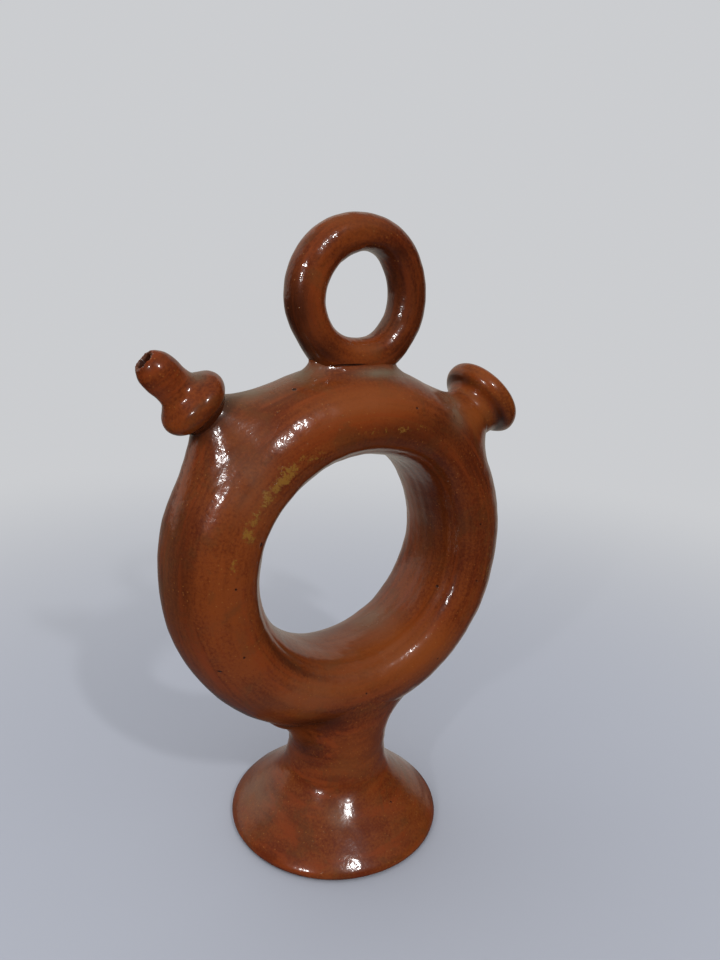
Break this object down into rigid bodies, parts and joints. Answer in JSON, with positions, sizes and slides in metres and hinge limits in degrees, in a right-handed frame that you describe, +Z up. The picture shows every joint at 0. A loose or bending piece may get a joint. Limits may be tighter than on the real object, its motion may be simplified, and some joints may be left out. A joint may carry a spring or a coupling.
{
  "type": "ring botijo",
  "caption": "Ring-shaped glazed earthenware water jug on a pedestal foot, with a ring handle, a flared filler neck and a nozzle spout to drink from.",
  "frame": {"origin": "on the table, under the middle of the jug", "axes": "+Z up; the hole of the ring runs along Y, the spout points towards -X and the filler towards +X"},
  "size_m": [0.1879, 0.104, 0.29],
  "materials": {
    "ring_glaze": "gloss",
    "foot_glaze": "gloss",
    "handle_glaze": "gloss",
    "neck_glaze": "gloss",
    "slip_glaze": "gloss"
  },
  "bodies": {
    "root": {"ring_body": "ring_glaze", "pedestal_foot": "foot_glaze", "foot_luting": "slip_glaze", "handle_ring": "handle_glaze", "handle_luting": "slip_glaze", "filler_neck": "neck_glaze", "filler_luting": "slip_glaze", "spout": "neck_glaze", "spout_luting": "slip_glaze"}
  },
  "joints": []
}
